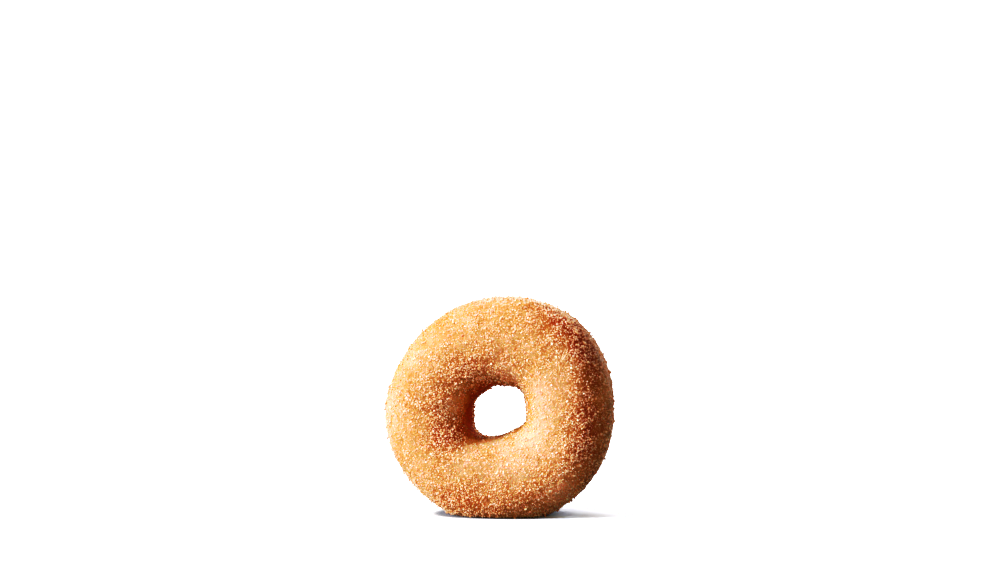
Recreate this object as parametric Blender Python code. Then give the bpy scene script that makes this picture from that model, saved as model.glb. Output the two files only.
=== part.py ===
"""A sugared ring doughnut, standing on its rim, as one closed solid.

The ring's axis runs along Y, and its front faces -Y. Z is up, and the origin is under the middle
of the doughnut, on the surface that it stands on. Its own weight has pressed a flat spot into the
rim, and the coarsest sugar crystals stand out of the crust.

Sizes are in metres, and angles are in degrees unless a line says otherwise. A direction round the
ring is counted from +X towards +Z, so 90 is the top. A place round the dough's section is counted
from the outer rim, so 0 is the rim, 90 the front face, 180 the hole's wall and -90 the back face.
"""

import math
import random
from collections import namedtuple

import bmesh
import bpy
from mathutils import Euler, Matrix, Vector

MM = 0.001

# The ring
RIM_RADIUS = 44.5 * MM
HOLE_RADIUS = 10.5 * MM
THICKNESS = 31.0 * MM
CENTRE_HEIGHT = 40.0 * MM
FULLNESS = 2.25  # 2 gives an elliptical section, and more gives a boxier one

# Proofing and frying leave the ring uneven. A wave swells "order" times round it, first at "crest".
Wave = namedtuple("Wave", "order size crest")
RIM_WAVES = (
    Wave(1, 0.55 * MM, 33),
    Wave(2, 0.8 * MM, 40),
    Wave(3, 0.5 * MM, 58),
    Wave(5, 0.25 * MM, 43),
)
HOLE_WAVES = (
    Wave(1, 0.3 * MM, 93),
    Wave(2, 1.1 * MM, 31),
    Wave(3, 0.25 * MM, 108),
    Wave(4, 0.35 * MM, 55),
    Wave(6, 0.3 * MM, 41),
)
THICKNESS_WAVES = (
    Wave(1, 0.3 * MM, 250),
    Wave(2, 0.5 * MM, 70),
    Wave(3, 0.3 * MM, 10),
)
LEAN_WAVES = (
    Wave(2, 0.35 * MM, 120),
    Wave(3, 0.2 * MM, 75),
)

# The pale line round the rim, where the dough floated in the oil, is drawn in a little
RIM_LINE_DEPTH = 0.35 * MM
RIM_LINE_SPREAD = 13

# The flat spot
PRESS_ROUNDING = 0.9 * MM
PRESS_BULGE = 0.05  # the share by which the pressed dough swells to the front and back
PRESS_REACH = 7 * MM

# Facets
RING_SEGMENTS = 64
SECTION_SEGMENTS = 28
SMOOTH_UP_TO = 30  # facets that meet at more than this keep a sharp edge, as the crystals' do

# The sugar
CRYSTAL_COUNT = 355
CRYSTAL_SMALLEST = 0.75 * MM
CRYSTAL_LARGEST = 1.25 * MM
CRYSTAL_STRETCH = 0.35  # how far a crystal's three sides may differ
CRYSTAL_SUNK = 0.15  # how far its middle lies under the crust, in its own sizes
FOOT_CLEARANCE = 1.4 * MM  # crystals stay this far above the surface that the doughnut stands on
BARE_HOLE_SPREAD = 42  # few crystals hold within this of the hole's narrowest line
BARE_LINE_SPREAD = 12  # nor within this of the pale line
BARE_SHARE = 0.25  # the share of them that holds there
LARGEST_PATCH = 0.28 * MM**2  # crust_patch hardly ever passes this
SUGAR_SEED = 3

# Irrational steps, which lay numbered crystals evenly over the crust
TURN_STEP = 0.7548776662
SECTION_STEP = 0.5698402910

CRUST_COLOUR = (0.62, 0.27, 0.075, 1.0)
CRUST_ROUGHNESS = 0.6
SUGAR_COLOUR = (0.93, 0.83, 0.70, 1.0)
SUGAR_ROUGHNESS = 0.3


def clear_scene():
    for thing in list(bpy.data.objects):
        bpy.data.objects.remove(thing)


def new_collection(name):
    made = bpy.data.collections.new(name)
    bpy.context.scene.collection.children.link(made)
    return made


def new_material(name, colour, roughness):
    made = bpy.data.materials.new(name)
    made.use_nodes = True
    shader = made.node_tree.nodes["Principled BSDF"]
    shader.inputs["Base Color"].default_value = colour
    shader.inputs["Roughness"].default_value = roughness
    shader.inputs["Metallic"].default_value = 0.0
    return made


def swell(waves, turn):
    """The waves' sum at a direction round the ring, which is given in radians."""
    return sum(w.size * math.cos(w.order * (turn - math.radians(w.crest))) for w in waves)


def bell(away, spread):
    return math.exp(-((away / spread) ** 2))


def eased(value):
    """A cosine or sine of the section's angle, pushed out to the section's fuller shape."""
    return math.copysign(abs(value) ** (2 / FULLNESS), value)


def ring_point(turn, section):
    """A point of the crust before the ring is set down, measured from the ring's middle."""
    rim = RIM_RADIUS + swell(RIM_WAVES, turn)
    hole = HOLE_RADIUS + swell(HOLE_WAVES, turn)
    half_thickness = THICKNESS / 2 + swell(THICKNESS_WAVES, turn)
    away = (rim + hole) / 2 + (rim - hole) / 2 * eased(math.cos(section))
    away -= RIM_LINE_DEPTH * bell(math.degrees(section), RIM_LINE_SPREAD)
    along = swell(LEAN_WAVES, turn) - half_thickness * eased(math.sin(section))
    return Vector((away * math.cos(turn), along, away * math.sin(turn)))


def set_down(point):
    """Lifts a point of the ring to its height, and presses flat what would reach below the surface."""
    height = point.z + CENTRE_HEIGHT
    blend = max(PRESS_ROUNDING - abs(height), 0.0)
    pressed = max(height, 0.0) + blend**2 / (4 * PRESS_ROUNDING)
    bulge = 1 + PRESS_BULGE * bell(max(height, 0.0), PRESS_REACH)
    return Vector((point.x, point.y * bulge, pressed))


def crust_point(turn, section):
    return set_down(ring_point(turn, section))


def crust_patch(turn, section):
    """The crust's outward direction here, as long as the area that half a degree each way covers."""
    step = math.radians(0.5)
    round_ring = crust_point(turn + step, section) - crust_point(turn - step, section)
    round_section = crust_point(turn, section + step) - crust_point(turn, section - step)
    return round_section.cross(round_ring)


def make_ring(materials, collection):
    """A torus whose points are moved to the doughnut's own form."""
    middle_radius = (RIM_RADIUS + HOLE_RADIUS) / 2
    bpy.ops.mesh.primitive_torus_add(
        location=(0, 0, 0),
        major_segments=RING_SEGMENTS,
        minor_segments=SECTION_SEGMENTS,
        major_radius=middle_radius,
        minor_radius=(RIM_RADIUS - HOLE_RADIUS) / 2,
    )
    ring = bpy.context.object
    ring.name = "doughnut"
    ring.data.name = "doughnut"
    for vertex in ring.data.vertices:
        x, y, z = vertex.co
        turn = math.atan2(y, x)
        section = math.atan2(z, math.hypot(x, y) - middle_radius)
        vertex.co = crust_point(turn, section)
    shell = bmesh.new()
    shell.from_mesh(ring.data)
    bmesh.ops.recalc_face_normals(shell, faces=shell.faces)
    shell.to_mesh(ring.data)
    shell.free()
    for material in materials:
        ring.data.materials.append(material)
    for holder in list(ring.users_collection):
        holder.objects.unlink(ring)
    collection.objects.link(ring)
    return ring


def sugar_cover(section):
    """The share of the crystals that hold at this place round the section."""
    from_line = abs(math.degrees(section))
    bare = max(bell(180 - from_line, BARE_HOLE_SPREAD), bell(from_line, BARE_LINE_SPREAD))
    return 1 - (1 - BARE_SHARE) * bare


def make_crystal(place, normal, draw, materials, collection):
    """One blocky crystal, turned its own way and sunk halfway into the crust."""
    size = draw.uniform(CRYSTAL_SMALLEST, CRYSTAL_LARGEST)
    sides = [size * (1 + draw.uniform(-CRYSTAL_STRETCH, CRYSTAL_STRETCH) / 2) for _ in range(3)]
    turned = Euler([draw.uniform(0, 2 * math.pi) for _ in range(3)]).to_matrix().to_4x4()
    middle = Matrix.Translation(place - normal * size * CRYSTAL_SUNK)
    block = bmesh.new()
    bmesh.ops.create_cube(block, size=1, matrix=middle @ turned @ Matrix.Diagonal((*sides, 1)))
    for face in block.faces:
        face.material_index = 1
    mesh = bpy.data.meshes.new("crystal")
    block.to_mesh(mesh)
    block.free()
    for material in materials:
        mesh.materials.append(material)
    collection.objects.link(bpy.data.objects.new("crystal", mesh))


def make_crystals(materials, collection):
    """Lays crystals over the crust, as many for each area, by the same steps each time."""
    draw = random.Random(SUGAR_SEED)
    number = 0
    while len(collection.objects) < CRYSTAL_COUNT:
        number += 1
        turn = 2 * math.pi * (number * TURN_STEP % 1)
        section = math.pi * (2 * (number * SECTION_STEP % 1) - 1)
        place = crust_point(turn, section)
        patch = crust_patch(turn, section)
        chance = patch.length / LARGEST_PATCH * sugar_cover(section)
        if draw.random() < chance and place.z > FOOT_CLEARANCE:
            make_crystal(place, patch.normalized(), draw, materials, collection)


def fuse(ring, grains):
    """Joins the crystals to the dough, so that the doughnut is one solid."""
    union = ring.modifiers.new("sugar", "BOOLEAN")
    union.operation = "UNION"
    union.operand_type = "COLLECTION"
    union.collection = grains
    bpy.ops.object.select_all(action="DESELECT")
    bpy.context.view_layer.objects.active = ring
    ring.select_set(True)
    bpy.ops.object.modifier_apply(modifier=union.name)
    for grain in list(grains.objects):
        bpy.data.objects.remove(grain)
    bpy.data.collections.remove(grains)
    ring.data.shade_smooth()
    ring.data.set_sharp_from_angle(angle=math.radians(SMOOTH_UP_TO))


def centre(ring):
    """Sets the middle of the doughnut's own box over the origin."""
    points = [vertex.co for vertex in ring.data.vertices]
    middle_x = (min(p.x for p in points) + max(p.x for p in points)) / 2
    middle_y = (min(p.y for p in points) + max(p.y for p in points)) / 2
    ring.data.transform(Matrix.Translation((-middle_x, -middle_y, 0)))


def main():
    clear_scene()
    doughnut = new_collection("sugared_doughnut")
    grains = new_collection("sugar_crystals")
    materials = (
        new_material("fried_crust", CRUST_COLOUR, CRUST_ROUGHNESS),
        new_material("sugar", SUGAR_COLOUR, SUGAR_ROUGHNESS),
    )
    ring = make_ring(materials, doughnut)
    make_crystals(materials, grains)
    fuse(ring, grains)
    centre(ring)


main()
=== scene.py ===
"""The looks of a sugared ring doughnut, which stands on its rim on a pale floor.

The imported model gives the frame: metres, Z up, the hole's axis along Y, the front facing -Y, and the
origin on the floor under the middle of the ring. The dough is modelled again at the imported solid's
form, with the low relief that the solid leaves out, and the sugar is laid on it grain by grain.

A direction round the ring, called turn, is counted from +X towards +Z, so a quarter turn is the top.
A place round the dough's section is counted from the outer rim: 0 is the rim, 90 degrees the front
face, 180 the hole's wall and -90 the back face.
"""

import logging
import math
from dataclasses import dataclass, field
from enum import Enum
from itertools import product

import bpy
import numpy as np
from mathutils import Matrix, Vector


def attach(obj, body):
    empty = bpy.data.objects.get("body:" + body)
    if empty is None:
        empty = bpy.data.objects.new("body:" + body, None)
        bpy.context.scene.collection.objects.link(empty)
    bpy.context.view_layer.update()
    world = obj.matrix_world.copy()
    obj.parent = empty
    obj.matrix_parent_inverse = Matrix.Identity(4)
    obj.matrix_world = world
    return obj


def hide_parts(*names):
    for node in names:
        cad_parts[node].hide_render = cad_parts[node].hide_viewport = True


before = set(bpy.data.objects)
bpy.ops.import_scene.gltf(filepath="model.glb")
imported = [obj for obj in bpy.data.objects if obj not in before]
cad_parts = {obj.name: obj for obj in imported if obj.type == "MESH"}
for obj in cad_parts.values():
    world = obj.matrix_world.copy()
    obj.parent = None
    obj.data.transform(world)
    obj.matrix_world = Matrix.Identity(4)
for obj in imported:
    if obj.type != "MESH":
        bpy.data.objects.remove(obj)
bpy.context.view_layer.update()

MM = 0.001
NODE = "doughnut"
BODY = "root"

Colour = tuple[float, float, float]
Triple = tuple[float, float, float]
Pair = tuple[float, float]
# Two numbers and what they become, in the order that NodeSheet.rescale takes them
Range = tuple[float, float, float, float]
# A shader's sockets and the values that they are set to
Settings = tuple[tuple[str, float | Triple], ...]
Socket = bpy.types.NodeSocket
log = logging.getLogger("doughnut")


def unselect_all() -> None:
    """Leaves nothing selected, because an operator acts on all that is."""
    for thing in bpy.context.selected_objects:
        thing.select_set(False)
    bpy.context.view_layer.objects.active = None


def pick(thing: bpy.types.Object) -> None:
    """Selects one object alone and makes it the active one.

    Args:
        thing: The object that the next operator is for.
    """
    unselect_all()
    thing.select_set(True)
    bpy.context.view_layer.objects.active = thing


def apply_modifiers(thing: bpy.types.Object) -> None:
    """Applies every modifier of an object, in their order.

    Args:
        thing: The object, whose mesh takes the result.
    """
    pick(thing)
    for modifier in list(thing.modifiers):
        bpy.ops.object.modifier_apply(modifier=modifier.name)


def read_all(items: object, name: str, width: int = 1, kind: type = float) -> np.ndarray:
    """Reads one property of all vertices, loops or triangles of a mesh.

    Args:
        items: The mesh's vertices, loops or triangles, or an attribute's data.
        name: The property's name.
        width: How many numbers it has for each.
        kind: The kind of number.

    Returns:
        One row of numbers for each.
    """
    flat = np.empty(len(items) * width, dtype=kind)
    items.foreach_get(name, flat)
    return flat.reshape(-1, width)


def read_points(mesh: bpy.types.Mesh) -> np.ndarray:
    """Reads a row of x, y and z for each vertex of a mesh."""
    return read_all(mesh.vertices, "co", 3)


def add_attribute(mesh: bpy.types.Mesh, name: str, values: np.ndarray) -> None:
    """Stores one number for each vertex, which the materials read by its name."""
    layer = mesh.attributes.new(name, "FLOAT", "POINT")
    layer.data.foreach_set("value", values.astype(np.float32))


class NodeSheet:
    """A node tree with short calls for adding and joining its nodes."""

    def __init__(self, tree: bpy.types.NodeTree) -> None:
        """Keeps a material's or a world's tree, which the calls work on."""
        self.tree = tree

    def feed(self, socket: Socket, value: object) -> None:
        """Links an output to an input socket, or sets the socket's own value.

        Args:
            socket: The input socket.
            value: An output socket, a number or a colour.
        """
        if isinstance(value, Socket):
            self.tree.links.new(value, socket)
        elif isinstance(value, tuple) and len(value) == 3 and socket.type == "RGBA":
            socket.default_value = (*value, 1.0)
        else:
            socket.default_value = value

    def add(self, kind: str, inputs: dict[object, object] | None = None,
            **settings: object) -> bpy.types.Node:
        """Adds a node.

        Args:
            kind: The node's type, without "ShaderNode" in front.
            inputs: What feeds each input, by the input's name or number.
            **settings: The node's own properties.

        Returns:
            The node.
        """
        node = self.tree.nodes.new("ShaderNode" + kind)
        for name, value in settings.items():
            setattr(node, name, value)
        for name, value in (inputs or {}).items():
            self.feed(node.inputs[name], value)
        return node

    def attribute(self, name: str) -> Socket:
        """Reads the numbers that add_attribute stored under a name."""
        return self.add("Attribute", attribute_name=name).outputs["Fac"]

    def maths(self, operation: str, first: object, second: object) -> Socket:
        """Adds a Math node for two numbers or outputs, which keeps a product from 0 to 1."""
        kept = operation == "MULTIPLY"
        return self.add("Math", {0: first, 1: second}, operation=operation, use_clamp=kept).outputs[0]

    def blend(self, share: object, first: object, second: object) -> Socket:
        """Mixes two colours, through the Mix node's sockets for colours."""
        return self.add("Mix", {0: share, 6: first, 7: second}, data_type="RGBA").outputs[2]

    def choose(self, share: object, first: object, second: object) -> Socket:
        """Mixes two numbers, through the Mix node's sockets for numbers."""
        return self.add("Mix", {0: share, 2: first, 3: second}).outputs[0]

    def ramp(self, value: object, tones: tuple[tuple[float, Colour], ...]) -> Socket:
        """Reads a colour off a row of colours.

        Args:
            value: How far along the row, from 0 to 1.
            tones: Each colour's place in the row, and the colour.

        Returns:
            The colour.
        """
        node = self.add("ValToRGB", {0: value})
        stops = node.color_ramp.elements
        while len(stops) < len(tones):
            stops.new(0.5)
        for stop, (place, colour) in zip(stops, tones):
            stop.position = place
            stop.color = (*colour, 1.0)
        return node.outputs["Color"]

    def rescale(self, value: object, low: float, high: float, to_low: float = 0.0,
                to_high: float = 1.0) -> Socket:
        """Turns the numbers from low to high smoothly into those from to_low to to_high."""
        inputs = {"Value": value, "From Min": low, "From Max": high, "To Min": to_low, "To Max": to_high}
        return self.add("MapRange", inputs, interpolation_type="SMOOTHSTEP").outputs["Result"]

    def noise(self, place: object, size: float, detail: float, roughness: float = 0.5) -> Socket:
        """Adds a noise around a half, whose blotches lie so far apart, with so many finer layers."""
        inputs = {"Vector": place, "Scale": 1 / size, "Detail": detail, "Roughness": roughness}
        return self.add("TexNoise", inputs).outputs["Fac"]


@dataclass(frozen=True)
class Wave:
    """One of the swells that leave the ring uneven.

    Attributes:
        order: How many times it swells on the way round.
        size: How far it swells.
        crest: Where it is highest first, in degrees.
    """

    order: int
    size: float
    crest: float


def swell(waves: tuple[Wave, ...], turn: np.ndarray) -> np.ndarray:
    """Adds up waves at directions round the ring, which are in radians."""
    return sum(wave.size * np.cos(wave.order * (turn - math.radians(wave.crest))) for wave in waves)


def bell(away: np.ndarray, spread: float) -> np.ndarray:
    """A smooth bump: 1 at nothing away, and nearly gone at twice the spread."""
    return np.exp(-((away / spread) ** 2))


@dataclass(frozen=True)
class Spot:
    """A soft-edged spot of the crust, where something is stronger or weaker than elsewhere.

    Attributes:
        x, y, z: Its middle, in millimetres.
        reach: How far it goes from its middle, in millimetres.
        amount: How strong it is, below 0 where it weakens.
    """

    x: float
    y: float
    z: float
    reach: float
    amount: float


def spots(*rows: tuple[float, ...]) -> tuple[Spot, ...]:
    """Makes a spot of each row, which gives x, y, z, reach and amount."""
    return tuple(Spot(*row) for row in rows)


def spotted(marks: tuple[Spot, ...], places: np.ndarray) -> np.ndarray:
    """Adds up spots.

    Args:
        marks: The spots.
        places: One row of x, y and z for each place, in metres.

    Returns:
        The spots' sum at each place.
    """
    total = np.zeros(len(places))
    for spot in marks:
        away = np.linalg.norm(places / MM - (spot.x, spot.y, spot.z), axis=1)
        total += spot.amount * bell(away, spot.reach)
    return total


@dataclass
class DoughRing:
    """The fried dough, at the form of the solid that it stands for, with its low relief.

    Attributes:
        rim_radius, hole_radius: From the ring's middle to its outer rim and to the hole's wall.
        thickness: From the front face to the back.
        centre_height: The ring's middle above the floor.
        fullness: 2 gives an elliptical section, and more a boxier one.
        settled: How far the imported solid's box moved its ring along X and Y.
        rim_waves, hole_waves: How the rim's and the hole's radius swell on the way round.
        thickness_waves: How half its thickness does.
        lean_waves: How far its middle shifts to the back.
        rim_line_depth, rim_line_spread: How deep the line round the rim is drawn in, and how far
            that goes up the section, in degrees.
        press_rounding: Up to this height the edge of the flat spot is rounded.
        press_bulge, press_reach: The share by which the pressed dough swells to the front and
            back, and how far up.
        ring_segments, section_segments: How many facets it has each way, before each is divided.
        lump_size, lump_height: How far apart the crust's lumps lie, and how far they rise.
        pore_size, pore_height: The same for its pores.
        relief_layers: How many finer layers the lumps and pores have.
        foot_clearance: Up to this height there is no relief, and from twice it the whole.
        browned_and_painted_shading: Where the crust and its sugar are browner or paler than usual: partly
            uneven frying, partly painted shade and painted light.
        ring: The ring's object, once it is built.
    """

    rim_radius: float = 44.5 * MM
    hole_radius: float = 10.5 * MM
    thickness: float = 31.0 * MM
    centre_height: float = 40.0 * MM
    fullness: float = 2.25
    settled: Pair = (-0.009 * MM, 0.188 * MM)

    rim_waves: tuple[Wave, ...] = (
        Wave(1, 0.55 * MM, 33), Wave(2, 0.8 * MM, 40), Wave(3, 0.5 * MM, 58), Wave(5, 0.25 * MM, 43),
    )
    hole_waves: tuple[Wave, ...] = (
        Wave(1, 0.3 * MM, 93), Wave(2, 1.1 * MM, 31), Wave(3, 0.25 * MM, 108), Wave(4, 0.35 * MM, 55),
        Wave(6, 0.3 * MM, 41),
    )
    thickness_waves: tuple[Wave, ...] = (
        Wave(1, 0.3 * MM, 250), Wave(2, 0.5 * MM, 70), Wave(3, 0.3 * MM, 10),
    )
    lean_waves: tuple[Wave, ...] = (
        Wave(2, 0.35 * MM, 120), Wave(3, 0.2 * MM, 75),
    )
    rim_line_depth: float = 0.35 * MM
    rim_line_spread: float = 13.0
    press_rounding: float = 0.9 * MM
    press_bulge: float = 0.05
    press_reach: float = 7 * MM

    ring_segments: int = 192
    section_segments: int = 96
    lump_size: float = 7 * MM
    lump_height: float = 0.45 * MM
    pore_size: float = 1.3 * MM
    pore_height: float = 0.16 * MM
    relief_layers: int = 2
    foot_clearance: float = 1.6 * MM

    # Spots of uneven frying and of painted shading: many darken the crust where the light leaves it in
    # shade, and some lighten it where light falls
    browned_and_painted_shading: tuple[Spot, ...] = spots(
        (-20, -13, 53, 6, 0.3), (-22, -13, 44, 7, 0.3), (-21, -13, 38, 6, 0.15), (-21, -13, 32, 6, 0.5),
        (-14, -11, 31, 5, 0.2), (-12, -13, 59, 8, 0.4), (-10, -12, 68, 7, -0.25), (-4, -8, 78, 8, 0.25),
        (-26, -12, 60, 7, -0.12), (-21, -9, 73, 7, 0.3), (-38, -4, 66, 9, 0.15), (-40, -5, 56, 5, 0.3),
        (-34, -9, 26, 6, 0.15), (-10, -3, 40, 6, 0.6), (-8, -3, 49, 5, 0.4), (-16, -10, 43, 5, -0.65),
        (-15, -11, 51, 5, -0.1), (-22, -13, 27, 6, 0.15), (0, -9, 30, 5, -0.45), (14, -7, 80, 7, 0.2),
        (21, -8, 75, 7, 0.25), (28, -9, 68, 6, 0.35), (28, -5, 76, 6, 0.55), (29, -4, 77, 8, 0.5),
        (34, -8, 65, 6, 0.5), (38, -5, 62, 8, 0.4), (35, -10, 52, 6, 0.55), (35, -10, 41, 7, 0.55),
        (34, -10, 30, 6, 0.6), (-44, 0, 38, 11, -0.3), (43, 0, 26, 7, 0.25), (37, 0, 15, 7, 0.45),
        (29, -2, 7, 6, 0.35), (37, -4, 18, 9, 0.15), (26, -10, 8, 7, -0.4), (-18, -12, 8, 8, 0.35),
        (-12, -12, 7, 9, 0.1), (-4, -12, 5, 8, 0.25), (20, -13, 50, 7, -0.5), (17, -13, 34, 8, -0.4),
        (7, -14, 21, 8, -0.4), (-8, -14, 21, 7, -0.2), (-9, -12, 29, 4, -0.6), (-16, -13, 17, 6, -0.4),
        (2, -13, 15, 6, -0.3), (-7, -12, 6, 6, 0.15), (5, -9, 56, 5, -0.65), (9, -10, 33, 4, -0.7),
        (19, -4, 82, 6, 0.35), (31, -9, 65, 5, 0.45), (31, -10, 27, 5, 0.45),
    )

    ring: bpy.types.Object | None = field(default=None, init=False)

    def eased(self, value: np.ndarray) -> np.ndarray:
        """Pushes a cosine or sine of the section's angle out to the section's fuller shape."""
        return np.copysign(np.abs(value) ** (2 / self.fullness), value)

    def crust_points(self, turn: np.ndarray, section: np.ndarray) -> np.ndarray:
        """Places points of the crust.

        Args:
            turn: Their directions round the ring, in radians.
            section: Their places round the section, in radians.

        Returns:
            One row of x, y and z for each point.
        """
        rim = self.rim_radius + swell(self.rim_waves, turn)
        hole = self.hole_radius + swell(self.hole_waves, turn)
        half_thickness = self.thickness / 2 + swell(self.thickness_waves, turn)
        away = (rim + hole) / 2 + (rim - hole) / 2 * self.eased(np.cos(section))
        away -= self.rim_line_depth * bell(np.degrees(section), self.rim_line_spread)
        along = swell(self.lean_waves, turn) - half_thickness * self.eased(np.sin(section))
        height = away * np.sin(turn) + self.centre_height
        blend = np.maximum(self.press_rounding - np.abs(height), 0)
        bulge = 1 + self.press_bulge * bell(np.maximum(height, 0), self.press_reach)
        x = away * np.cos(turn) + self.settled[0]
        y = along * bulge + self.settled[1]
        z = np.maximum(height, 0) + blend**2 / (4 * self.press_rounding)
        return np.stack([x, y, z], axis=1)

    def build(self) -> None:
        """Models the ring from a torus."""
        middle = (self.rim_radius + self.hole_radius) / 2
        unselect_all()
        bpy.ops.mesh.primitive_torus_add(
            location=(0, 0, 0), major_radius=middle, major_segments=self.ring_segments,
            minor_radius=(self.rim_radius - self.hole_radius) / 2, minor_segments=self.section_segments,
        )
        self.ring = bpy.context.object
        self.ring.name = "dough_ring"
        mesh = self.ring.data
        mesh.name = "dough_ring"
        flat = read_points(mesh)
        turn = np.arctan2(flat[:, 1], flat[:, 0])
        section = np.arctan2(flat[:, 2], np.hypot(flat[:, 0], flat[:, 1]) - middle)
        mesh.vertices.foreach_set("co", self.crust_points(turn, section).ravel())
        add_attribute(mesh, "from_rim", np.abs(np.degrees(section)))
        self.face_outwards()
        finer = self.ring.modifiers.new("finer", "SUBSURF")
        finer.levels = 1
        finer.render_levels = 1
        apply_modifiers(self.ring)
        self.raise_relief()
        # The spots' sum paints browning, and also shade and light, onto the crust and the grains on it
        add_attribute(mesh, "browning_and_painted_shading", spotted(self.browned_and_painted_shading, read_points(mesh)))
        mesh.shade_smooth()

    def face_outwards(self) -> None:
        """Turns every face outwards."""
        pick(self.ring)
        bpy.ops.object.mode_set(mode="EDIT")
        bpy.ops.mesh.select_all(action="SELECT")
        bpy.ops.mesh.normals_make_consistent(inside=False)
        bpy.ops.object.mode_set(mode="OBJECT")

    def raise_relief(self) -> None:
        """Raises the crust's lumps and pores, and leaves the flat spot flat."""
        group = self.ring.vertex_groups.new(name="clear_of_floor")
        heights = read_points(self.ring.data)[:, 2]
        for number, height in enumerate(heights):
            weight = min(max(height / self.foot_clearance - 1, 0), 1)
            group.add([number], weight, "REPLACE")
        for name, size, height in (
            ("lumps", self.lump_size, self.lump_height),
            ("pores", self.pore_size, self.pore_height),
        ):
            texture = bpy.data.textures.new(name, "CLOUDS")
            texture.noise_scale = size
            texture.noise_depth = self.relief_layers
            raised = self.ring.modifiers.new(name, "DISPLACE")
            raised.texture = texture
            raised.texture_coords = "LOCAL"
            raised.strength = height
            raised.mid_level = 0.5
            raised.vertex_group = group.name
        apply_modifiers(self.ring)

    def dress(self, material: bpy.types.Material) -> None:
        """Gives the ring its material and its place in the frame.

        Args:
            material: The crust's material.
        """
        self.ring.data.materials.append(material)
        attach(self.ring, BODY)
        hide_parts(NODE)
        log.info("%s: %d faces", self.ring.name, len(self.ring.data.polygons))


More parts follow.
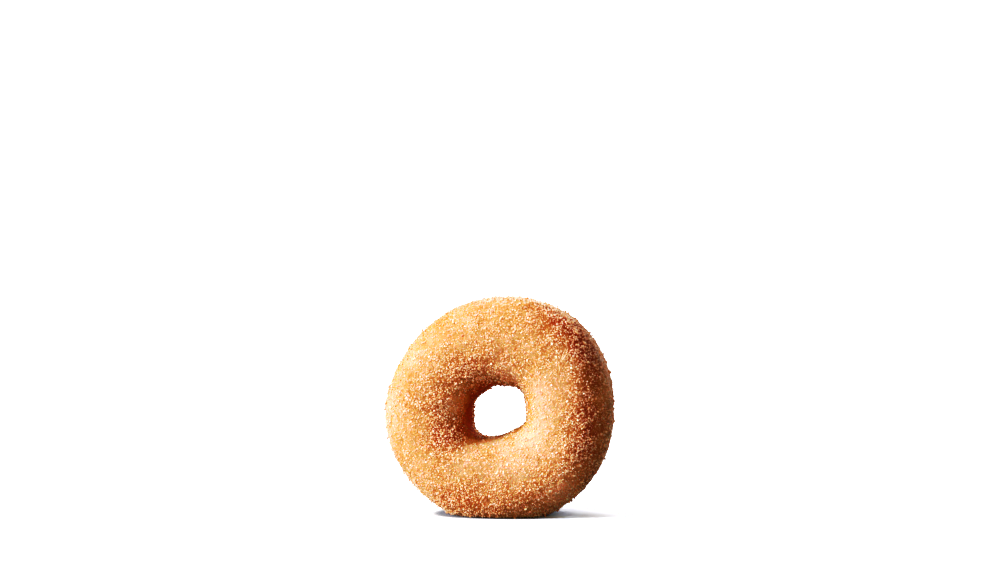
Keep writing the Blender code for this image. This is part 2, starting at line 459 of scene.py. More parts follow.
@dataclass(frozen=True)
class CrustFinish:
    """Fried yeast dough: blond to red-brown, with a pale line round the rim and a dust of sugar.

    Places round the section are in degrees from the rim.

    Attributes:
        tones: The colours from the least fried to the most, each with its share of the way; the painted
            shading darkens along the same row.
        pale: The line round the rim, which floated above the oil.
        dust: The finest sugar, too small for grains of its own.
        usual: How far the crust is fried where nothing makes it paler or browner.
        blotch_size, fleck_size, dust_size: How far apart the large blotches, the small darker
            flecks and the specks of dust lie.
        layers, dust_layers: How many finer layers the blotches and flecks have, and the dust.
        fleck_roughness: How strong the flecks' finer layers are.
        blotched, flecked: What the blotches' and the flecks' noise add to the frying.
        hole_wall_painted_shade: What the place round the section adds to the tones on the hole's wall, a
            painted shade that darkens the wall.
        line: Where the pale line starts to show, and where it is palest.
        line_share: How strongly the line shows.
        specked: Where in its noise a speck of dust starts, and where it is whole.
        dust_starts: Where the dust starts on the hole's wall, and where it is whole.
        line_left, dust_left: How much of the line and the dust is left where the crust is browned or painted
            shaded.
        dust_share: How strongly the dust shows.
        dust_height, dust_relief: How high the dust stands, and how strongly that is seen.
        roughness: The roughness of bare crust and of dust.
        shine: The specular level out on the crust and on the hole's wall.
        settings: What the shader's other sockets are set to.
    """

    tones: tuple[tuple[float, Colour], ...] = (
        (0.0, (0.77, 0.46, 0.30)),
        (0.3, (0.64, 0.31, 0.12)),
        (0.65, (0.48, 0.18, 0.03)),
        (1.0, (0.40, 0.075, 0.007)),
    )
    pale: Colour = (0.78, 0.50, 0.30)
    dust: Colour = (0.86, 0.53, 0.35)
    usual: float = 0.3
    blotch_size: float = 11 * MM
    fleck_size: float = 2.4 * MM
    dust_size: float = 0.42 * MM
    layers: float = 3.0
    dust_layers: float = 1.0
    fleck_roughness: float = 0.6
    blotched: Range = (0.35, 0.65, -0.12, 0.12)
    flecked: Range = (0.35, 0.7, -0.1, 0.2)
    # The hole's wall is painted darker, as the shade that falls inside the hole
    hole_wall_painted_shade: Range = (112.0, 145.0, 0.0, 0.3)
    line: Pair = (15.0, 4.0)
    line_left: Range = (0.0, 0.4, 1.0, 0.1)
    line_share: float = 0.35
    specked: Pair = (0.5, 0.62)
    dust_starts: Pair = (150.0, 110.0)
    dust_left: Range = (0.0, 0.6, 1.0, 0.3)
    dust_share: float = 0.45
    dust_height: float = 0.15 * MM
    dust_relief: float = 0.5
    roughness: Range = (0.0, 1.0, 0.5, 0.75)
    shine: Range = (120.0, 145.0, 0.15, 0.02)
    settings: Settings = (
        ("Subsurface Weight", 0.6),
        ("Subsurface Radius", (1.0, 0.3, 0.08)),
        ("Subsurface Scale", 1.5 * MM),
    )

    def material(self) -> bpy.types.Material:
        """Makes the material.

        Returns:
            The material.
        """
        made = bpy.data.materials.new("fried_crust_dusted")
        made.use_nodes = True
        sheet = NodeSheet(made.node_tree)
        shader = made.node_tree.nodes["Principled BSDF"]
        place = sheet.add("TexCoord").outputs["Object"]
        from_rim = sheet.attribute("from_rim")
        browning_and_painted_shading = sheet.attribute("browning_and_painted_shading")

        blotches = sheet.noise(place, self.blotch_size, self.layers)
        flecks = sheet.noise(place, self.fleck_size, self.layers, self.fleck_roughness)
        # The tones are read by frying plus painted shading: the spots paint shade and light on the crust,
        # and the hole's wall is painted darker as shade
        frying_and_painted_shade = sheet.maths("ADD", browning_and_painted_shading, self.usual)
        for value, added in ((blotches, self.blotched), (flecks, self.flecked), (from_rim, self.hole_wall_painted_shade)):
            frying_and_painted_shade = sheet.maths("ADD", frying_and_painted_shade, sheet.rescale(value, *added))
        frying_and_painted_shade = sheet.ramp(frying_and_painted_shade, self.tones)
        line = sheet.rescale(from_rim, *self.line)
        line = sheet.maths("MULTIPLY", line, sheet.rescale(browning_and_painted_shading, *self.line_left))
        frying_and_painted_shade = sheet.blend(sheet.maths("MULTIPLY", line, self.line_share), frying_and_painted_shade, self.pale)

        specks = sheet.rescale(sheet.noise(place, self.dust_size, self.dust_layers), *self.specked)
        specks = sheet.maths("MULTIPLY", specks, sheet.rescale(from_rim, *self.dust_starts))
        specks = sheet.maths("MULTIPLY", specks, sheet.rescale(browning_and_painted_shading, *self.dust_left))
        dusted = sheet.blend(sheet.maths("MULTIPLY", specks, self.dust_share), frying_and_painted_shade, self.dust)
        relief = {"Height": specks, "Strength": self.dust_relief, "Distance": self.dust_height}
        sheet.feed(shader.inputs["Base Color"], dusted)
        sheet.feed(shader.inputs["Roughness"], sheet.rescale(specks, *self.roughness))
        sheet.feed(shader.inputs["Normal"], sheet.add("Bump", relief).outputs["Normal"])
        sheet.feed(shader.inputs["Specular IOR Level"], sheet.rescale(from_rim, *self.shine))
        for name, value in self.settings:
            shader.inputs[name].default_value = value
        return made


class Habit(Enum):
    """The shapes that sugar crystals are modelled in."""

    NUB = "nub"
    BLOCK = "block"
    TABLET = "tablet"
    CUT_BLOCK = "cut_block"


@dataclass(frozen=True)
class Crystal:
    """One crystal about a unit across, which the grains of its kind are copies of.

    Attributes:
        habit: Its shape.
        nub_radius: The radius of the ball that a nub is made from.
        nub_share: The share of the ball's faces that a nub keeps.
        tablet_sides, cut_block_sides: A tablet's and a cut block's three sides.
        cut: How far from its edges a cut block is cut.
    """

    habit: Habit
    nub_radius: float = 0.55
    nub_share: float = 0.4
    tablet_sides: Triple = (1.25, 0.95, 0.6)
    cut_block_sides: Triple = (1.1, 0.95, 0.85)
    cut: float = 0.17

    def model(self) -> tuple[np.ndarray, np.ndarray]:
        """Models the crystal.

        Returns:
            Its points, and its triangles as three point numbers each.
        """
        unselect_all()
        if self.habit is Habit.NUB:
            bpy.ops.mesh.primitive_ico_sphere_add(subdivisions=1, radius=self.nub_radius, location=(0, 0, 0))
            thing = bpy.context.object
            fewer = thing.modifiers.new("fewer", "DECIMATE")
            fewer.ratio = self.nub_share
            apply_modifiers(thing)
        else:
            bpy.ops.mesh.primitive_cube_add(size=1, location=(0, 0, 0))
            thing = bpy.context.object
        bpy.ops.object.mode_set(mode="EDIT")
        bpy.ops.mesh.select_all(action="SELECT")
        if self.habit is Habit.TABLET:
            bpy.ops.transform.resize(value=self.tablet_sides)
        if self.habit is Habit.CUT_BLOCK:
            bpy.ops.transform.resize(value=self.cut_block_sides)
            bpy.ops.mesh.bevel(offset=self.cut, segments=1, affect="EDGES")
        bpy.ops.mesh.quads_convert_to_tris()
        bpy.ops.object.mode_set(mode="OBJECT")
        mesh = thing.data
        points = read_points(mesh)
        corners = read_all(mesh.loops, "vertex_index", kind=np.int64).reshape(-1, 3)
        bpy.data.objects.remove(thing)
        bpy.data.meshes.remove(mesh)
        # Bevel lists its faces in another order each run, so they get an order of their own
        first = corners.argmin(axis=1)[:, None]
        corners = np.take_along_axis(corners, (first + np.arange(3)) % 3, axis=1)
        return points, corners[np.lexsort(corners.T)]


@dataclass(frozen=True)
class GrainKind:
    """One kind of sugar grain.

    Attributes:
        name: The piece's name.
        habit: The crystals' shape.
        count: How many are laid.
        smallest, largest: The smallest and the largest grain's size.
        sunk: How far a grain's middle lies under the crust, in its own sizes.
        room: How close two grains may lie, in their mean size.
        tilt: How far they tilt off the crust, as the spread of a slope.
        lift: How far the highest grains stand above the lowest, in their own sizes.
        clotting: How strongly they keep to the clots.
        whitened: How strongly the whiter places whiten them.
        seed: The random draw's seed.
    """

    name: str
    habit: Habit
    count: int
    smallest: float
    largest: float
    sunk: float
    room: float
    tilt: float
    lift: float
    clotting: float
    whitened: float
    seed: int


@dataclass(frozen=True)
class Drift:
    """A smooth random field of a few crossing waves.

    Attributes:
        size: About how far apart its crests lie.
        seed: The random draw's seed.
        share: How strongly it counts.
        waves: How many waves cross in it.
        variety: From how coarse to how fine its waves are, as shares of the usual wave number.
        limit: What its sum is cut off at, and then divided by.
    """

    size: float
    seed: int
    share: float
    waves: int = 14
    variety: Pair = (0.6, 1.4)
    limit: float = 1.4

    def at(self, places: np.ndarray) -> np.ndarray:
        """Reads the field.

        Args:
            places: Where it is read.

        Returns:
            Its values, which go as far as its share both ways.
        """
        draw = np.random.default_rng(self.seed)
        total = np.zeros(len(places))
        for _ in range(self.waves):
            way = draw.normal(size=3)
            way *= 2 * math.pi / self.size / np.linalg.norm(way) * draw.uniform(*self.variety)
            total += np.cos(places @ way + draw.uniform(0, 2 * math.pi))
        return self.share * (np.clip(total / math.sqrt(self.waves), -self.limit, self.limit) / self.limit)


def drifted(drifts: tuple[Drift, ...], places: np.ndarray) -> np.ndarray:
    """Adds up fields at places on the crust."""
    return sum(drift.at(places) for drift in drifts)


@dataclass
class SugarCoat:
    """The sugar that clings to the crust, grain by grain.

    Attributes:
        dough: The ring that it clings to.
        kinds: The kinds of grain, from the coarsest to the finest.
        wobble: How far a grain's corners are drawn off its crystal's, in its own sizes.
        stretch: How far each of its sides is drawn off its crystal's, as a share.
        smallness: The power that makes small grains likelier than large ones.
        tries: How many places are drawn for each grain, because some are taken.
        foot_clearance: Grains lie at least this far above the floor.
        floor_gap: Their corners stay at least this far above it.
        cell: The side of the boxes that laid grains are noted in, more than any two keep apart.
        drifts: The wide drifts in which the sugar lies thicker.
        clots: The clots in which it does.
        hold_from, hold_steepness: The thickness at which half of the grains hold, and how fast
            more hold above it.
        thin_left: The share that holds where it is thinnest.
        loose_left: How much more of a kind holds there that keeps to no clots.
        line_bareness, line_spread: The share that misses on the pale line, and how far that goes.
        least_held: The share that holds at least, anywhere.
        white_clots: Where the grains are whiter, in clots.
        thin_white, thin_limit: How much thickness whitens grains, and up to which thickness.
        browned_and_shaded_white, browned_and_shaded_limit: How much browning and painted shading whiten the
        grains, and up to which amount.
        bare_share: The share that misses on the hole's wall.
        bare_from, bare_softness: Where the bare wall starts and how gradually, in degrees.
        bare_swing, bare_crest: How much further out it starts at most, and at which turn.
        edge_share, edge_spread: The share of the bareness that is gone on the hole's narrowest
            line, and how far that goes, in degrees.
        hue_seeds: What is added to a kind's seed for the draw of its hues.
        thickness: Where the sugar is thicker than usual, or thinner.
        whiter: Where it is whiter than usual, or duller.
        taken: The place and size of each grain laid, by the box that it lies in.
    """

    dough: DoughRing
    kinds: tuple[GrainKind, ...] = (
        GrainKind(
            name="sugar_coarse", habit=Habit.CUT_BLOCK, count=2100, smallest=0.6 * MM, largest=0.85 * MM,
            sunk=-0.15, room=1.1, tilt=0.5, lift=0.9, clotting=1.1, whitened=1.2, seed=11,
        ),
        GrainKind(
            name="sugar_medium", habit=Habit.BLOCK, count=9000, smallest=0.34 * MM, largest=0.52 * MM,
            sunk=-0.2, room=1.05, tilt=0.5, lift=0.7, clotting=0.75, whitened=1.0, seed=12,
        ),
        GrainKind(
            name="sugar_fine", habit=Habit.TABLET, count=12000, smallest=0.26 * MM, largest=0.38 * MM,
            sunk=-0.2, room=0.9, tilt=0.5, lift=0.5, clotting=0.5, whitened=0.0, seed=13,
        ),
        GrainKind(
            name="sugar_dust", habit=Habit.NUB, count=16000, smallest=0.2 * MM, largest=0.3 * MM,
            sunk=-0.1, room=0.8, tilt=0.3, lift=0.3, clotting=0.3, whitened=0.0, seed=14,
        ),
    )
    wobble: float = 0.12
    stretch: float = 0.22
    smallness: float = 1.5
    tries: int = 3
    foot_clearance: float = 0.5 * MM
    floor_gap: float = 0.02 * MM
    cell: float = 1.1 * MM
    drifts: Drift = Drift(9 * MM, 5, 0.35)
    clots: tuple[Drift, ...] = (Drift(2.8 * MM, 6, 0.55), Drift(4.5 * MM, 7, 0.25))
    hold_from: float = 0.05
    hold_steepness: float = 7.0
    thin_left: float = 0.08
    loose_left: float = 0.6
    line_bareness: float = 0.1
    line_spread: float = 12.0
    least_held: float = 0.01
    white_clots: tuple[Drift, ...] = (
        Drift(2.8 * MM, 6, 0.4),
        Drift(4.5 * MM, 7, 0.15),
        Drift(1.3 * MM, 8, 0.4),
    )
    thin_white: float = 0.8
    thin_limit: float = 0.15
    browned_and_shaded_white: float = 0.35
    browned_and_shaded_limit: float = 0.6
    bare_share: float = 0.99
    bare_from: float = 149.0
    bare_softness: float = 3.5
    bare_swing: float = 12.0
    bare_crest: float = 175.0
    edge_share: float = 0.75
    edge_spread: float = 6.0
    hue_seeds: int = 100
    thickness: tuple[Spot, ...] = spots(
        (-30, -10, 66, 11, -0.35), (-21, -9, 73, 6, -0.4), (-36, -4, 70, 8, -0.6), (-42, -4, 58, 8, -0.6),
        (-40, -5, 56, 9, -0.4), (-34, -10, 30, 9, -0.3), (20, -13, 44, 9, 0.25), (14, -13, 24, 8, 0.3),
        (4, -14, 20, 7, 0.3), (-8, -14, 21, 7, 0.2), (43, -3, 62, 9, -0.35), (44, -3, 44, 11, -0.4),
        (40, -4, 24, 10, -0.3), (-43, -3, 34, 7, 0.3), (-28, -12, 46, 8, 0.35), (-20, -13, 58, 8, 0.35),
        (-6, -13, 68, 9, 0.25), (-2, -9, 55, 5, 0.3), (-20, -13, 28, 8, 0.3), (26, -12, 60, 9, 0.3),
        (30, -12, 40, 7, 0.3), (28, -12, 26, 8, 0.35), (20, -13, 10, 9, 0.3), (31, -5, 9, 5, 0.6),
        (0, -13, 6, 10, 0.15), (-18, -13, 12, 9, 0.2), (-4, -9, 31, 5, 0.4), (6, -9, 31, 5, 0.4),
        (-23, -13, 46, 3, 0.9), (-23, -13, 38, 3.5, 0.4), (-30, -11, 61, 4, 0.8), (-27, -12, 58, 4, 0.4),
        (-30, -12, 36, 3, 0.7), (30, -11, 57, 3, 0.7), (23, -13, 50, 3, 0.8), (33, -10, 32, 3.5, 0.8),
        (30, -11, 36, 3, 0.4), (22, -12, 10, 3, 1.5), (27, -12, 21, 3, 0.8), (25, 4, 79, 6, 0.6),
        (33, 4, 74, 6, 0.6), (39, 4, 65, 6, 0.7), (43, 4, 53, 6, 0.6), (44, 4, 40, 6, 0.6),
        (42, 4, 27, 6, 0.6), (36, 4, 16, 6, 0.5), (29, 4, 8, 5, 0.5),
    )
    whiter: tuple[Spot, ...] = spots(
        (41, -5, 62, 9, 0.3), (42, -5, 44, 10, 0.3), (38, -6, 24, 9, 0.35), (-20, -13, 44, 9, 0.2),
        (-27, -12, 37, 3, 0.4), (-29, -11, 60, 3.5, 0.4), (-16, -13, 7, 10, -0.6), (-18, -13, 40, 3.5, 0.5),
        (35, -13, 54, 5, 0.5), (29, -15, 37, 5, 0.4), (6, -9, 54, 5, 0.3), (-19, -15, 62, 6, 0.3),
        (25, -13, 68, 5, 0.4), (38, -10, 25, 6, 0.45), (15, -14, 7, 5, 0.35), (3, -14, 6, 8, -0.5),
        (30, -11, 35, 3.5, 0.7), (27, -12, 21, 3, 0.7), (22, -12, 10, 3, 0.8), (30, -11, 57, 3, 0.5),
        (-43, -3, 34, 8, 0.7), (-44, 1, 48, 8, 0.5), (-33, -8, 66, 9, -0.3), (-38, 1, 20, 8, 0.4),
        (-29, 1, 9, 7, 0.4),
    )
    taken: dict[tuple[int, int, int], list[tuple[float, ...]]] = field(default_factory=dict)

    def cover(self, middles: np.ndarray, from_rim: np.ndarray, clotting: float) -> np.ndarray:
        """How densely the sugar holds.

        Args:
            middles: Places on the crust.
            from_rim: Their places round the section, in degrees from the rim.
            clotting: How strongly the grains keep to the clots.

        Returns:
            The share of grains that hold at each place.
        """
        thick = spotted(self.thickness, middles) + self.drifts.at(middles)
        thick = thick + clotting * drifted(self.clots, middles)
        held = 1 / (1 + np.exp(-self.hold_steepness * (thick - self.hold_from)))
        left = self.thin_left + self.loose_left * np.clip(1 - clotting, 0, 1)
        held = left * (1 - held) + held
        held *= 1 - self.bareness(middles, from_rim)
        held *= 1 - self.line_bareness * bell(from_rim, self.line_spread)
        return np.clip(held, self.least_held, 1)

    def whiteness(self, places: np.ndarray, browned_and_painted_shading: np.ndarray, whitened: float) -> np.ndarray:
        """How much whiter the grains are than usual: where they lie in a clot, in the whiter spots, and
        where the crust is browned or painted shaded.

        Args:
            places: Places on the crust.
            browned_and_painted_shading: How browned or painted shaded it is there.
            whitened: How strongly the whiter places act.

        Returns:
            What is added to each grain's tint.
        """
        thin = self.thin_white * np.minimum(spotted(self.thickness, places), self.thin_limit)
        whiter = drifted(self.white_clots, places) + thin + whitened * spotted(self.whiter, places)
        return whiter + self.browned_and_shaded_white * np.clip(browned_and_painted_shading, 0, self.browned_and_shaded_limit)

    def bareness(self, middles: np.ndarray, from_rim: np.ndarray) -> np.ndarray:
        """How bare the hole's wall is, which reaches further out on its left.

        Args:
            middles: Places on the crust.
            from_rim: Their places round the section, in degrees from the rim.

        Returns:
            The share of grains missing at each place.
        """
        turn = np.arctan2(middles[:, 2] - self.dough.centre_height, middles[:, 0])
        starts = self.bare_from - self.bare_swing * np.cos(turn - math.radians(self.bare_crest))
        wall = self.bare_share / (1 + np.exp((starts - from_rim) / self.bare_softness))
        return wall * (1 - self.edge_share * bell(180 - from_rim, self.edge_spread))

    def candidates(self, count: int, clotting: float,
                   draw: np.random.Generator) -> tuple[np.ndarray, np.ndarray]:
        """Draws places on the crust, more where sugar holds.

        Args:
            count: How many.
            clotting: How strongly the grains keep to the clots.
            draw: The random draw.

        Returns:
            The places, and the crust's outward directions there.
        """
        mesh = self.dough.ring.data
        mesh.calc_loop_triangles()
        corners = read_all(mesh.loop_triangles, "vertices", 3, np.int64)
        points = read_points(mesh)
        normals = read_all(mesh.vertices, "normal", 3)
        from_rim = read_all(mesh.attributes["from_rim"].data, "value", kind=np.float32)[:, 0]

        a, b, c = (points[corners[:, i]] for i in range(3))
        area = np.linalg.norm(np.cross(b - a, c - a), axis=1)
        middles = (a + b + c) / 3
        weight = area * self.cover(middles, from_rim[corners].mean(axis=1), clotting)
        weight[middles[:, 2] < self.foot_clearance] = 0
        chosen = draw.choice(len(weight), size=count, p=weight / weight.sum())
        u = np.sqrt(draw.random(count))[:, None]
        v = draw.random(count)[:, None]
        shares = (1 - u, u * (1 - v), u * v)
        places = sum(share * points[corners[chosen, i]] for i, share in enumerate(shares))
        outward = sum(share * normals[corners[chosen, i]] for i, share in enumerate(shares))
        return places, outward / np.linalg.norm(outward, axis=1)[:, None]

    def is_free(self, place: np.ndarray, size: float, room: float) -> bool:
        """Whether a grain fits between those already laid, and if so notes it as laid.

        Args:
            place: The grain's place.
            size: The grain's size.
            room: How close two grains may lie, in their mean size.

        Returns:
            Whether it fits.
        """
        x, y, z = (float(value) for value in place)
        i, j, k = int(x // self.cell), int(y // self.cell), int(z // self.cell)
        for box in product((i - 1, i, i + 1), (j - 1, j, j + 1), (k - 1, k, k + 1)):
            for px, py, pz, other in self.taken.get(box, ()):
                least = room * (size + other) / 2
                if (x - px) ** 2 + (y - py) ** 2 + (z - pz) ** 2 < least**2:
                    return False
        self.taken.setdefault((i, j, k), []).append((x, y, z, size))
        return True

    def lay(self, kind: GrainKind) -> bpy.types.Object:
        """Lays the grains of one kind as one joined mesh.

        Args:
            kind: The kind.

        Returns:
            The piece.
        """
        draw = np.random.default_rng(kind.seed)
        tries = kind.count * self.tries
        places, outward = self.candidates(tries, kind.clotting, draw)
        sizes = kind.smallest + (kind.largest - kind.smallest) * draw.random(tries) ** self.smallness
        kept = []
        for number in range(tries):
            if len(kept) == kind.count:
                break
            if self.is_free(places[number], sizes[number], kind.room):
                kept.append(number)
        places, outward, sizes = places[kept], outward[kept], sizes[kept]
        count = len(kept)
        points, faces = Crystal(kind.habit).model()

        turns = self.lying_turns(outward, kind.tilt, draw)
        stretch = 1 + draw.uniform(-self.stretch, self.stretch, size=(count, 1, 3))
        bent = points[None] + draw.uniform(-self.wobble, self.wobble, size=(count, len(points), 3))
        local = np.einsum("nij,npj->npi", turns, bent * stretch) * sizes[:, None, None]
        raised = np.einsum("npi,ni->np", local, outward)
        raise_by = (kind.lift * draw.random(count) ** 2 - kind.sunk) * sizes
        middle = places + outward * raise_by[:, None]
        placed = local + middle[:, None]
        placed[..., 2] = np.maximum(placed[..., 2], self.floor_gap)

        every_face = (faces[None] + (np.arange(count) * len(points))[:, None, None]).reshape(-1, 3)
        mesh = bpy.data.meshes.new(kind.name)
        mesh.from_pydata(placed.reshape(-1, 3), [], every_face)
        # The crust's spots of browning and painted shading, which tint and whiten the grains too
        browned_and_painted_shading = spotted(self.dough.browned_and_painted_shading, places)
        tint = np.clip(draw.random(count) + self.whiteness(places, browned_and_painted_shading, kind.whitened), 0, 1)
        hues = np.random.default_rng(kind.seed + self.hue_seeds).random(count)
        for name, values in (("grain_tint", tint), ("grain_browning_and_shading", browned_and_painted_shading), ("grain_hue", hues)):
            add_attribute(mesh, name, np.repeat(values, len(points)))
        # About 0 at a grain's foot and 1 at its top
        add_attribute(mesh, "grain_top", (0.5 + raised / sizes[:, None]).ravel())
        piece = bpy.data.objects.new(kind.name, mesh)
        bpy.context.scene.collection.objects.link(piece)
        log.info("%s: %d of %d grains, %d faces", kind.name, count, kind.count, len(every_face))
        return piece

    @staticmethod
    def lying_turns(outward: np.ndarray, tilt: float, draw: np.random.Generator) -> np.ndarray:
        """Draws turns that lay crystals on the crust, each spun its own way and tilted a little.

        Args:
            outward: The crust's outward direction under each crystal.
            tilt: How far they tilt, as the spread of a slope.
            draw: The random draw.

        Returns:
            One 3 by 3 matrix for each, whose columns are the crystal's own axes.
        """
        up = outward + draw.normal(scale=tilt, size=outward.shape)
        up /= np.linalg.norm(up, axis=1)[:, None]
        side = np.cross(up, draw.normal(size=outward.shape))
        side /= np.linalg.norm(side, axis=1)[:, None]
        return np.stack([side, np.cross(up, side), up], axis=2)

    def build(self, material: bpy.types.Material) -> None:
        """Lays every kind and dresses it.

        Args:
            material: The crystals' material.
        """
        for kind in self.kinds:
            piece = self.lay(kind)
            piece.data.materials.append(material)
            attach(piece, BODY)


@dataclass(frozen=True)
class SugarFinish:
    """Sugar crystals: glossy, half clear, cream where they stand free and amber where they sink in.

    Attributes:
        clear: A pinkish and a golden colour, between which a clear crystal's free end lies.
        creamy: The same two for a duller crystal.
        amber: The colour that the crust gives a crystal's foot.
        rosy_browned_and_shaded: The redder colour that a crystal takes over browned crust, and also a
            painted warm shade where the spots paint shade.
        shade: The share of light that a crystal lets through to what it shades.
        cleared: The tints at which a crystal starts to be clear, and is all clear.
        reddened_by_browning_and_shade: How rosy a crystal is, by how browned and painted shaded the crust
            under it is.
        freed: The heights in a crystal at which the foot's colour starts to go, and is gone.
        roughness: How rough the dullest and the clearest crystal are.
        settings: What the shader's other sockets are set to.
    """

    clear: tuple[Colour, Colour] = ((0.99, 0.71, 0.67), (0.96, 0.86, 0.66))
    creamy: tuple[Colour, Colour] = ((0.96, 0.49, 0.44), (0.86, 0.63, 0.36))
    amber: Colour = (0.70, 0.31, 0.11)
    rosy_browned_and_shaded: Colour = (1.0, 0.59, 0.46)
    shade: Colour = (0.88, 0.87, 0.85)
    cleared: Pair = (0.45, 1.0)
    reddened_by_browning_and_shade: Range = (0.0, 0.4, 0.0, 0.45)
    freed: Pair = (0.25, 1.0)
    roughness: Range = (0.0, 1.0, 0.45, 0.25)
    settings: Settings = (
        ("IOR", 1.54),
        ("Subsurface Weight", 1.0),
        ("Subsurface Radius", (1.0, 0.85, 0.7)),
        ("Subsurface Scale", 0.5 * MM),
    )

    def material(self) -> bpy.types.Material:
        """Makes the material.

        Returns:
            The material.
        """
        made = bpy.data.materials.new("sugar_crystals")
        made.use_nodes = True
        sheet = NodeSheet(made.node_tree)
        shader = made.node_tree.nodes["Principled BSDF"]
        tint = sheet.attribute("grain_tint")
        hue = sheet.attribute("grain_hue")
        creamy = sheet.blend(hue, *self.creamy)
        clear = sheet.blend(hue, *self.clear)
        free = sheet.blend(sheet.rescale(tint, *self.cleared), creamy, clear)
        # Crystals turn rosy over browned crust and, as a painted warm shade, where the spots paint shade
        reddened_by_browning_and_shade = sheet.rescale(sheet.attribute("grain_browning_and_shading"), *self.reddened_by_browning_and_shade)
        free = sheet.blend(reddened_by_browning_and_shade, free, self.rosy_browned_and_shaded)
        freed = sheet.rescale(sheet.attribute("grain_top"), *self.freed)
        sheet.feed(shader.inputs["Base Color"], sheet.blend(freed, self.amber, free))
        sheet.feed(shader.inputs["Roughness"], sheet.rescale(tint, *self.roughness))
        for name, value in self.settings:
            shader.inputs[name].default_value = value
        shadow = sheet.add("LightPath").outputs["Is Shadow Ray"]
        through = sheet.add("BsdfTransparent", {"Color": self.shade})
        mixed = sheet.add("MixShader", {0: shadow, 1: shader.outputs[0], 2: through.outputs[0]})
        sheet.feed(made.node_tree.nodes["Material Output"].inputs["Surface"], mixed.outputs[0])
        return made


@dataclass(frozen=True)
class Lamp:
    """A far soft light.

    Attributes:
        name: Its name.
        way: Where it stands, as right, up and towards the camera.
        width: How wide it looks from the doughnut, in degrees.
        power: How strong it is, in watts for each square metre that faces it.
        colour: Its colour.
    """

    name: str
    way: Triple
    width: float
    power: float
    colour: Colour = (1.0, 1.0, 1.0)


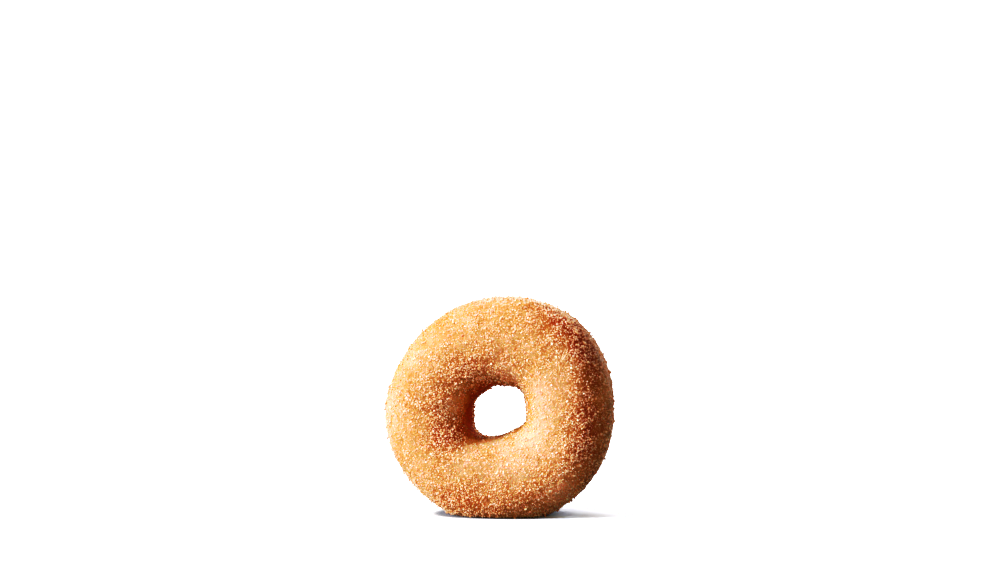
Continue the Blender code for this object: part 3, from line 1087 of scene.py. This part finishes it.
@dataclass
class Studio:
    """The camera, the lights and the pale floor.

    Attributes:
        aim: The point of the doughnut that the camera's place is given from.
        azimuth, elevation: How far the camera stands to the right of the front, and above the
            point, in degrees.
        distance: How far away it stands.
        lens: Its focal length, in millimetres of a 36 mm wide film.
        tilt: How far it looks above the point, in degrees.
        sight: How far it sees.
        lamps: The lights, of which the key light is the first.
        surround, surround_seen: How bright the surround is for the doughnut and the camera.
        mirrored: How bright the surround and the floor are in the sugar's reflections.
        floor_size: The floor's side.
        floor_bounce: How bright the floor is for the doughnut.
        floor_seen: The colours that the camera sees on the left of the floor and on its right; the bluer
            right one shows only in the cast shadow, which it paints cooler.
        floor_sides: The x at which the left one starts to change, and at which the right one is whole.
        painted_shadow_reach: How far the painted contact shadow round the foot goes out on the left and on
            the right.
        painted_shadow_seen: The colours of that painted shadow on the left and on the right.
        painted_shadow_from: How open a place of the floor still is where the painted shadow is whole.
        tones: The brightness of the render at some points of its curve, and what each becomes.
    """

    aim: Triple = (0.0, 0.0, 40 * MM)
    azimuth: float = 10.0
    elevation: float = 6.0
    distance: float = 1.078
    lens: float = 100.0
    tilt: float = 2.677
    sight: float = 50.0
    lamps: tuple[Lamp, ...] = (
        Lamp("key_light", (-0.873, 0.446, 0.200), 24.0, 5.15),
        Lamp("fill_light", (0.0, 0.1, 1.0), 50.0, 1.1, (1.0, 0.74, 0.4)),
        Lamp("back_light", (-0.2, 0.95, -0.25), 40.0, 0.5),
        Lamp("rear_light", (0.3, 0.15, -1.0), 60.0, 1.8),
    )
    surround: float = 0.0
    surround_seen: float = 1.2
    mirrored: float = 0.25
    floor_size: float = 12.0
    floor_bounce: float = 0.08
    floor_seen: tuple[Colour, Colour] = ((3.6, 3.75, 4.0), (3.5, 3.8, 4.5))
    floor_sides: Pair = (10 * MM, 30 * MM)
    painted_shadow_reach: Pair = (7 * MM, 22 * MM)
    painted_shadow_seen: tuple[Colour, Colour] = ((0.22, 0.24, 0.28), (1.3, 1.65, 2.2))
    painted_shadow_from: float = 0.3
    tones: tuple[Pair, ...] = ((0.05, 0.022), (0.15, 0.125), (0.3, 0.41), (0.6, 0.78), (1.0, 0.95))

    def axes(self) -> tuple[Vector, Vector, Vector]:
        """The directions that are right, up and towards the camera, seen from it.

        Returns:
            The three directions.
        """
        azimuth = math.radians(self.azimuth)
        elevation = math.radians(self.elevation)
        right = Vector((math.cos(azimuth), math.sin(azimuth), 0))
        back = Vector((math.sin(azimuth), -math.cos(azimuth), 0)) * math.cos(elevation)
        back.z = math.sin(elevation)
        return right, back.cross(right), back

    def build_camera(self) -> None:
        """Sets up the camera at the photograph's angle."""
        right, up, back = self.axes()
        camera = bpy.data.objects.new("camera", bpy.data.cameras.new("camera"))
        bpy.context.scene.collection.objects.link(camera)
        camera.data.lens = self.lens
        camera.data.clip_end = self.sight
        turn = Matrix.Rotation(math.radians(self.tilt), 3, right) @ Matrix((right, up, back)).transposed()
        camera.matrix_world = Matrix.Translation(Vector(self.aim) + back * self.distance) @ turn.to_4x4()
        bpy.context.scene.camera = camera

    def towards(self, direction: Triple) -> Vector:
        """Turns a direction given as right, up and towards the camera into the frame's."""
        return sum((axis * share for axis, share in zip(self.axes(), direction)), Vector()).normalized()

    def add_light(self, lamp: Lamp) -> None:
        """Adds a light.

        Args:
            lamp: What it is like.
        """
        light = bpy.data.lights.new(lamp.name, "SUN")
        light.angle = math.radians(lamp.width)
        light.energy = lamp.power
        light.color = lamp.colour
        placed = bpy.data.objects.new(lamp.name, light)
        bpy.context.scene.collection.objects.link(placed)
        placed.rotation_euler = self.towards(lamp.way).to_track_quat("Z", "Y").to_euler()

    def build_lights(self) -> None:
        """Sets up the lights, and a surround that the sugar mirrors."""
        for lamp in self.lamps:
            self.add_light(lamp)
        world = bpy.data.worlds.new("surround")
        bpy.context.scene.world = world
        world.use_nodes = True
        sheet = NodeSheet(world.node_tree)
        surround = world.node_tree.nodes["Background"]
        ray = sheet.add("LightPath").outputs
        strength = sheet.choose(ray["Is Glossy Ray"], self.surround, self.mirrored)
        strength = sheet.choose(ray["Is Camera Ray"], strength, self.surround_seen)
        sheet.feed(surround.inputs["Color"], (1.0, 1.0, 1.0))
        sheet.feed(surround.inputs["Strength"], strength)

    def build_floor(self) -> None:
        """Lays the pale floor, which the camera sees a few stops brighter than it lights the doughnut, with
        a painted contact shadow round the foot.
        """
        unselect_all()
        bpy.ops.mesh.primitive_plane_add(size=self.floor_size, location=(0, 0, 0))
        floor = bpy.context.object
        floor.name = "floor"
        made = bpy.data.materials.new("pale_floor")
        made.use_nodes = True
        sheet = NodeSheet(made.node_tree)
        nodes = made.node_tree.nodes
        nodes.remove(nodes["Principled BSDF"])
        ray = sheet.add("LightPath").outputs
        glow = sheet.choose(ray["Is Glossy Ray"], self.floor_bounce, self.mirrored)
        across = sheet.add("SeparateXYZ", {0: sheet.add("TexCoord").outputs["Object"]}).outputs["X"]
        side = sheet.rescale(across, *self.floor_sides)
        reach = sheet.rescale(across, *self.floor_sides, *self.painted_shadow_reach)
        # A contact shadow is painted round the foot: the camera sees the floor darker the less open it is
        floor_openness = sheet.add("AmbientOcclusion", {"Distance": reach}).outputs["AO"]
        shadow_colour = sheet.blend(side, *self.painted_shadow_seen)
        # The right side's bluer colour shows only in the cast shadow, painting it cooler
        shown = sheet.blend(side, *self.floor_seen)
        shown = sheet.blend(sheet.rescale(floor_openness, self.painted_shadow_from, 1.0), shadow_colour, shown)
        matt = sheet.add("BsdfDiffuse", {"Color": sheet.blend(ray["Is Camera Ray"], glow, shown)})
        sheet.feed(nodes["Material Output"].inputs["Surface"], matt.outputs[0])
        floor.data.materials.append(made)

    def build_exposure(self) -> None:
        """Sets the picture's exposure and contrast."""
        view = bpy.context.scene.view_settings
        view.view_transform = "Standard"
        view.look = "None"
        view.exposure = 0.0
        view.gamma = 1.0
        view.use_curve_mapping = True
        curve = view.curve_mapping.curves[3]  # the one for all colours at once
        for shown, seen in self.tones:
            curve.points.new(shown, seen)
        view.curve_mapping.update()

    def build(self) -> None:
        """Sets up the whole studio."""
        self.build_camera()
        self.build_lights()
        self.build_floor()
        self.build_exposure()


def main() -> None:
    """Builds the studio, the dough and the sugar, in that order."""
    logging.basicConfig(level=logging.INFO, format="%(name)s: %(message)s")
    Studio().build()
    dough = DoughRing()
    dough.build()
    dough.dress(CrustFinish().material())
    SugarCoat(dough).build(SugarFinish().material())


if __name__ == "__main__":
    main()
